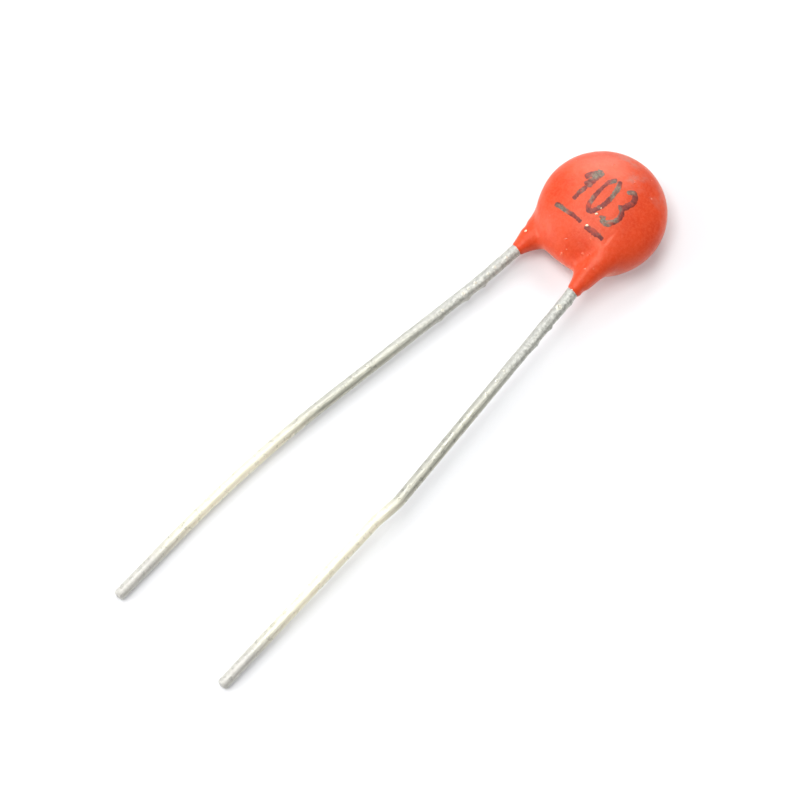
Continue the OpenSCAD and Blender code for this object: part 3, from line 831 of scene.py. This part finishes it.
def strokeSurface(path, half, seed):
    # A ribbon along the path: two sides are pulled in and out by waves, and its crown stands
    # on the skin by the ink's thickness, with its edges sunk into the skin
    p = printing
    run = runOf(path)
    s = np.linspace(0, run[-1], max(p["fewest"], int(run[-1] / p["step"])))
    line = followed(s, run, path)
    heading = unit(np.gradient(line, axis=0))
    side = np.stack([-heading[:, 1], heading[:, 0]], -1)
    v = np.linspace(-1, 1, p["across"])
    ends = np.clip(np.minimum(s, run[-1] - s) / (half * p["endShare"]), 0, 1)
    ends = np.sqrt(np.maximum(1 - (1 - ends) ** 2, p["endLeast"]))
    place = np.concatenate([line, 0 * line[:, :1]], -1)

    def ragged(first):
        broad, fine = p["ragged"]
        return 1 + ripple(place, *broad, first) + ripple(place, *fine, first + 1)

    reach = np.where(v[None] < 0, ragged(seed + 2)[:, None], ragged(seed)[:, None])
    reach = reach * v[None] * half * ends[:, None]
    plan = line[:, None] + reach[..., None] * side[:, None]
    crown = (1 - np.abs(v) ** p["crownPower"])[None] * ends[:, None] ** 2
    crown = (p["thickness"] + p["sink"]) * crown - p["sink"]
    skin = resinTop(plan)
    upper = np.concatenate([plan, (skin + crown)[..., None]], -1)
    under = np.concatenate([plan, (skin - p["sink"] - p["under"])[..., None]], -1)
    # how far each point is from the stroke's middle, as a share of half its width
    edge = np.maximum(np.abs(v)[None], 1 - ends[:, None])
    return upper, under, edge


def inkMaterial():
    k = printing["look"]
    tree, shader, material = newMaterial("printedInk", Specular_IOR_Level=0.25)
    at = coordinates(tree)
    plum = mix(tree, patches(tree, at, *k["plum"]), *k["plumTones"])
    grey = mix(tree, patches(tree, at, *k["grey"]), *k["greyTones"])
    tone = mix(tree, patches(tree, at, *k["thick"]), plum, grey)
    sway = math(tree, "SUBTRACT", noise(tree, at, *k["edge"]), 0.5)
    edge = math(tree, "ADD", attribute(tree, "film")[1]["X"], times(tree, sway, k["edgeSway"]))
    bare = larger(tree, times(tree, patches(tree, at, *k["specks"]), k["speckShare"]),
                  patches(tree, at, *k["thin"]))
    bare = larger(tree, bare, spread(tree, edge, *k["edgeFade"]))
    plug(tree, shader, Base_Color=mix(tree, bare, tone, resin["look"]["lightTone"]),
         Roughness=patches(tree, at, *k["gloss"]),
         Normal=bump(tree, noise(tree, at, *k["relief"]), *k["reliefDepth"]))
    return material


def addPrinting():
    points, quads, film = [], [], []
    count = 0
    for number, (path, half) in enumerate(strokePaths()):
        seed = printing["seed"] + printing["seedStep"] * number
        upper, under, edge = strokeSurface(path, half, seed)
        rows, columns = upper.shape[:2]
        # the ribbon's upper and lower faces make one closed ring across the stroke
        quads.append(gridFaces(rows, 2 * columns, count))
        for row in (0, rows - 1):
            line = count + row * 2 * columns + np.arange(columns)
            other = count + (row + 1) * 2 * columns - 1 - np.arange(columns)
            strip = np.stack([line[:-1], line[1:], other[1:], other[:-1]], -1)
            quads.append(strip if row == 0 else strip[:, ::-1])
        points.append(np.concatenate([upper, under[:, ::-1]], 1).reshape(-1, 3))
        film.append(np.concatenate([edge, edge[:, ::-1]], 1).reshape(-1, 1) * [1, 0, 0])
        count += rows * 2 * columns
    addPiece("printedCode", toPart(np.vstack(points)), (np.vstack(quads),
             np.zeros((0, 3), int)), inkMaterial(), {"film": np.vstack(film)})


addPrinting()
print("code printed")


# Specks: drops of resin, tinted paler partly as a painted highlight, and grains of tin stuck on
# the skin
specks = {
    # each speck: x, y on the upper face, radius and height
    "tin": ((0.16, -0.60, 0.070, 0.040), (0.14, -0.26, 0.050, 0.016),
            (0.18, -1.29, 0.075, 0.022), (-2.11, -2.91, 0.055, 0.018)),
    "resin": ((0.83, -2.34, 0.085, 0.024), (1.08, -2.19, 0.075, 0.020),
              (1.38, -2.86, 0.085, 0.026), (1.49, -3.28, 0.070, 0.020),
              (0.71, -1.66, 0.085, 0.016), (-0.21, -2.30, 0.075, 0.014),
              (0.00, -2.86, 0.075, 0.030), (-0.74, 1.01, 0.060, 0.016),
              (0.47, 1.74, 0.070, 0.018), (0.38, 1.86, 0.050, 0.014),
              (-0.87, 1.80, 0.080, 0.016), (0.43, -0.68, 0.060, 0.014)),
    "rings": 6, "around": 14,
    # how much each outline sways twice and three times round, how far its edge is sunk into
    # the skin and how deep its foot reaches
    "sway": (0.18, 0.08), "sink": 0.01, "foot": 0.05,
    "tinFinish": {"tones": ((0.95, 0.86, 0.62), (0.92, 0.70, 0.50)),
                  "Metallic": 0.2, "Roughness": 0.3},
    # the drops' paler orange tone is partly a painted highlight on them
    "resinDropHighlightFinish": {"tones": (resin["look"]["lightTone"], (0.90, 0.16, 0.07)),
                    "Roughness": 0.22},
    "bothFinish": {"patchy": (7000, 2, 0.5, 0.4, 0.6), "relief": (12000, 2, 0.5, 0.00001, 0.5)},
}


def addSpecks(name, grains, material):
    # Low domes: a circle of points whose height falls off as one minus the square of the radius
    s = specks
    grains = np.array(grains)
    x, y, radius, height = (grains[:, k, None, None] for k in range(4))
    share = np.linspace(0, 1, s["rings"] + 1)[1:][None, :, None]
    turn = (2 * np.pi * np.arange(s["around"]) / s["around"])[None, None]
    outline = (1 + s["sway"][0] * np.sin(2 * turn + radius * 90)
               + s["sway"][1] * np.sin(3 * turn + 1))
    reach = radius * share * outline
    plan = np.stack([x + reach * np.cos(turn), y + reach * np.sin(turn)], -1)
    top = resinTop(plan) + (height * (1 - share ** 2) - s["sink"] * share)
    peak = np.column_stack([grains[:, :2], resinTop(grains[:, :2]) + grains[:, 3]])
    blocks = np.concatenate([np.concatenate([plan, top[..., None]], -1).reshape(
        len(grains), -1, 3), peak[:, None], (peak - [0, 0, s["foot"]])[:, None]], 1)
    faces = copies(closedFaces(s["rings"], s["around"]), *blocks.shape[:2])
    addPiece(name, toPart(blocks.reshape(-1, 3)), faces, material)


addSpecks("tinGrains", specks["tin"],
          grainyMaterial("tinGrain", **specks["tinFinish"], **specks["bothFinish"]))
addSpecks("resinDrops", specks["resin"],
          grainyMaterial("resinDropPaintedHighlight", **specks["resinDropHighlightFinish"], **specks["bothFinish"]))
print("grains set")


# The inner pieces keep their CAD meshes and get their own finishes
inside = {
    # each finish: two tones, scale of the grain, metallic, roughness from and to, relief
    "finishes": {"firedCeramic": (((0.46, 0.35, 0.19), (0.62, 0.50, 0.31)),
                                  3000, 0.0, (0.55, 0.75), 0.00001),
                 "silverFilm": (((0.70, 0.70, 0.69), (0.90, 0.90, 0.89)),
                                4000, 0.95, (0.38, 0.55), 0.000006),
                 "softSolder": (((0.42, 0.43, 0.44), (0.66, 0.67, 0.68)),
                                2200, 0.95, (0.28, 0.5), 0.00002)},
    "nodes": {"ceramic_disc": "firedCeramic", "front_electrode": "silverFilm",
              "back_electrode": "silverFilm", "front_solder": "softSolder",
              "back_solder": "softSolder"},
}


def innerMaterial(name, tones, scale, metallic, rough, relief):
    return grainyMaterial(name, tones, (scale, 5, 0.65, 0.35, 0.65),
                          (scale * 1.7, 3, 0.5, 0.3, 0.7, *rough),
                          (scale * 3, 4, 0.7, relief, 0.6), Metallic=metallic)


def dressInside():
    made = {name: innerMaterial(name, *look) for name, look in inside["finishes"].items()}
    for cadNode, finish in inside["nodes"].items():
        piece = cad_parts[cadNode]
        piece.data.materials.clear()
        piece.data.materials.append(made[finish])


dressInside()
print("inner pieces dressed")


# The table, and the studio light: soft boxes, and pale cards that show only in reflections
studio = {
    "floorSize": 900, "floorColour": (0.745, 0.75, 0.762), "floorGlow": (0.148, 0.150, 0.153),
    "floorRelief": (900, 3, 0.5), "floorReliefDepth": (0.00002, 0.1), "distance": 420,
    # each soft box: heading from +Y towards +X and elevation in degrees, width, power in watts
    "boxes": {"top": (215.0, 80, 180, 0.870), "high": (268.0, 67, 180, 0.388),
              "low": (226.8, 15, 200, 1.040), "side": (237.0, 41, 160, 0.351),
              "back": (326.8, 42, 160, 0.520)},
    # a box that only fills the shadows and shows in no reflection
    "fills": {"far": (46.8, 34, 260, 0.673)},
    "cards": {"low": (318.0, 24, 320, 2.0), "upper": (318.0, 66, 220, 0.45)},
    "sky": (0.96, 0.97, 1.0), "skyStrength": 0.02}


def addFloor():
    s = studio["floorSize"] / 2000
    mesh = bpy.data.meshes.new("table")
    mesh.from_pydata([(-s, -s, 0), (s, -s, 0), (s, s, 0), (-s, s, 0)], [], [(0, 1, 2, 3)])
    tree, shader, material = newMaterial(
        "paleTable", Roughness=0.75, Specular_IOR_Level=0.2, Emission_Strength=1.0,
        Base_Color=(*studio["floorColour"], 1), Emission_Color=(*studio["floorGlow"], 1))
    height = noise(tree, coordinates(tree), *studio["floorRelief"])
    plug(tree, shader, Normal=bump(tree, height, *studio["floorReliefDepth"]))
    mesh.materials.append(material)
    floor = addObject("table", mesh)


def addBox(name, heading, elevation, width, power):
    h, e = np.radians([heading, elevation])
    back = np.array([np.sin(h) * np.cos(e), np.cos(h) * np.cos(e), np.sin(e)])
    right = unit(np.cross([0, 0, 1], back))
    data = bpy.data.lights.new(name, "AREA")
    data.shape, data.size, data.energy = "SQUARE", width / 1000, power
    lamp = addObject(name, data)
    lamp.matrix_world = placement(right, np.cross(back, right), back, back * studio["distance"])
    return lamp


def addLight():
    for name, box in studio["boxes"].items():
        addBox(name + "Box", *box)
    for name, box in studio["fills"].items():
        addBox(name + "Box", *box).visible_glossy = False
    for name, card in studio["cards"].items():
        addBox(name + "Card", *card).visible_diffuse = False
    world = bpy.data.worlds.new("studio")
    world.use_nodes = True
    sky = world.node_tree.nodes["Background"]
    sky.inputs["Color"].default_value = (*studio["sky"], 1)
    sky.inputs["Strength"].default_value = studio["skyStrength"]
    bpy.context.scene.world = world
    bpy.context.scene.view_settings.view_transform = "Standard"


addFloor()
addLight()
print("studio lit")

bpy.context.view_layer.update()
